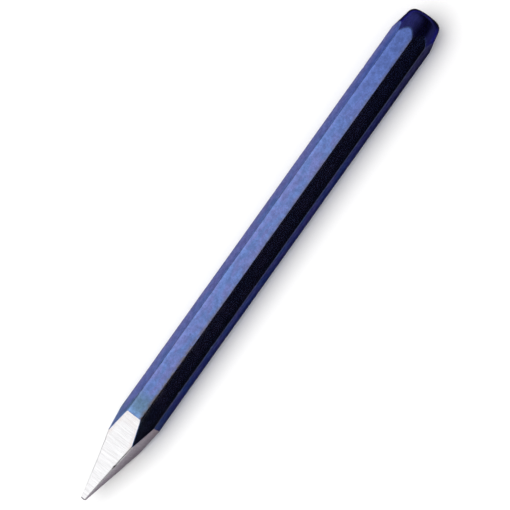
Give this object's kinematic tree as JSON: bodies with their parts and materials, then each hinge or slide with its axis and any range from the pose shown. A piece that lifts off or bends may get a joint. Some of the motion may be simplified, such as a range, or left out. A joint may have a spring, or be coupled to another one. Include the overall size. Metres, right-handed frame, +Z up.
{
  "type": "point chisel",
  "caption": "Forged octagonal steel bar with a crowned striking head and a ground pyramid point, coated in blue enamel; struck with a hammer to break and rough out stone.",
  "frame": {"origin": "on the lower flat of the coat, halfway along the length and midway across the flat", "axes": "+X along the bar from the point to the head, +Z up from the flat that it lies on"},
  "size_m": [0.25, 0.018, 0.018],
  "materials": {
    "ground_steel": "ground bright, with fine marks across the faces of the point",
    "blue_enamel": "satin blue enamel with a fine speckle, over forged steel"
  },
  "bodies": {
    "root": {"steel_bar": "ground_steel", "enamel_coat": "blue_enamel"}
  },
  "joints": []
}
